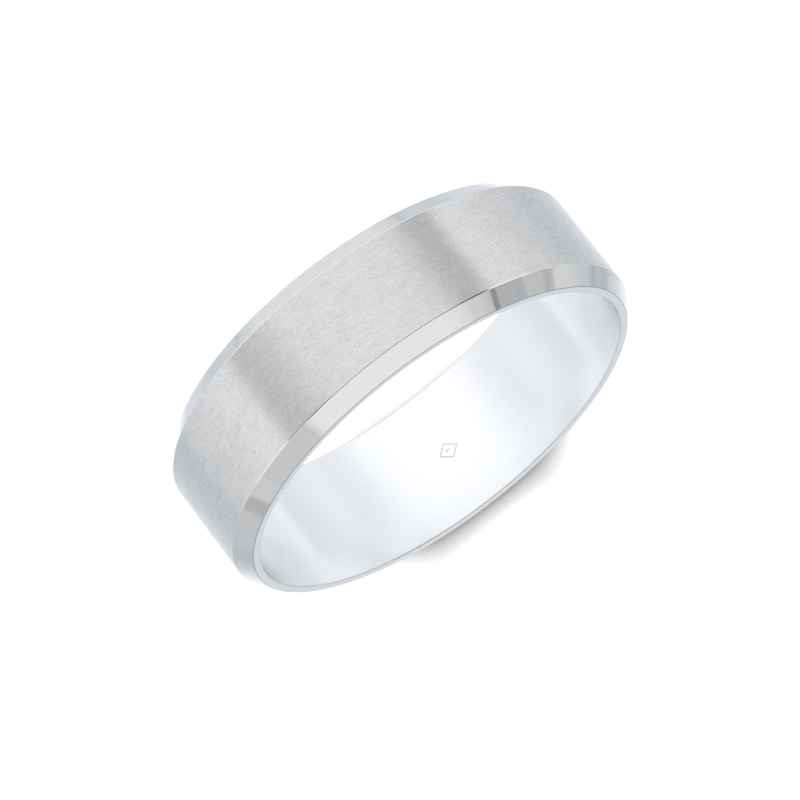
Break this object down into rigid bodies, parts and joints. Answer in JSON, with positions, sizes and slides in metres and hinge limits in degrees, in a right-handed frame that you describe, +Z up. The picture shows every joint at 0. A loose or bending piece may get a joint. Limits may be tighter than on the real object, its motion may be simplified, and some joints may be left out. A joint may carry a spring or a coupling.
{
  "type": "wedding band",
  "caption": "Plain metal finger ring: a satin flat centre face between polished bevels, with a smooth round bore that slides onto a finger.",
  "frame": {"origin": "centre of the ring, on the finger axis at mid width", "axes": "+Y along the finger axis, +Z up; the ring stands on its outer face, and the engraved mark is at the bottom of the bore"},
  "size_m": [0.022, 0.0066, 0.022],
  "materials": {
    "white_metal": "white precious metal: satin centre face with fine lines around the ring, mirror-polished bevels, side faces and bore"
  },
  "bodies": {
    "root": {"band": "white_metal"}
  },
  "joints": []
}
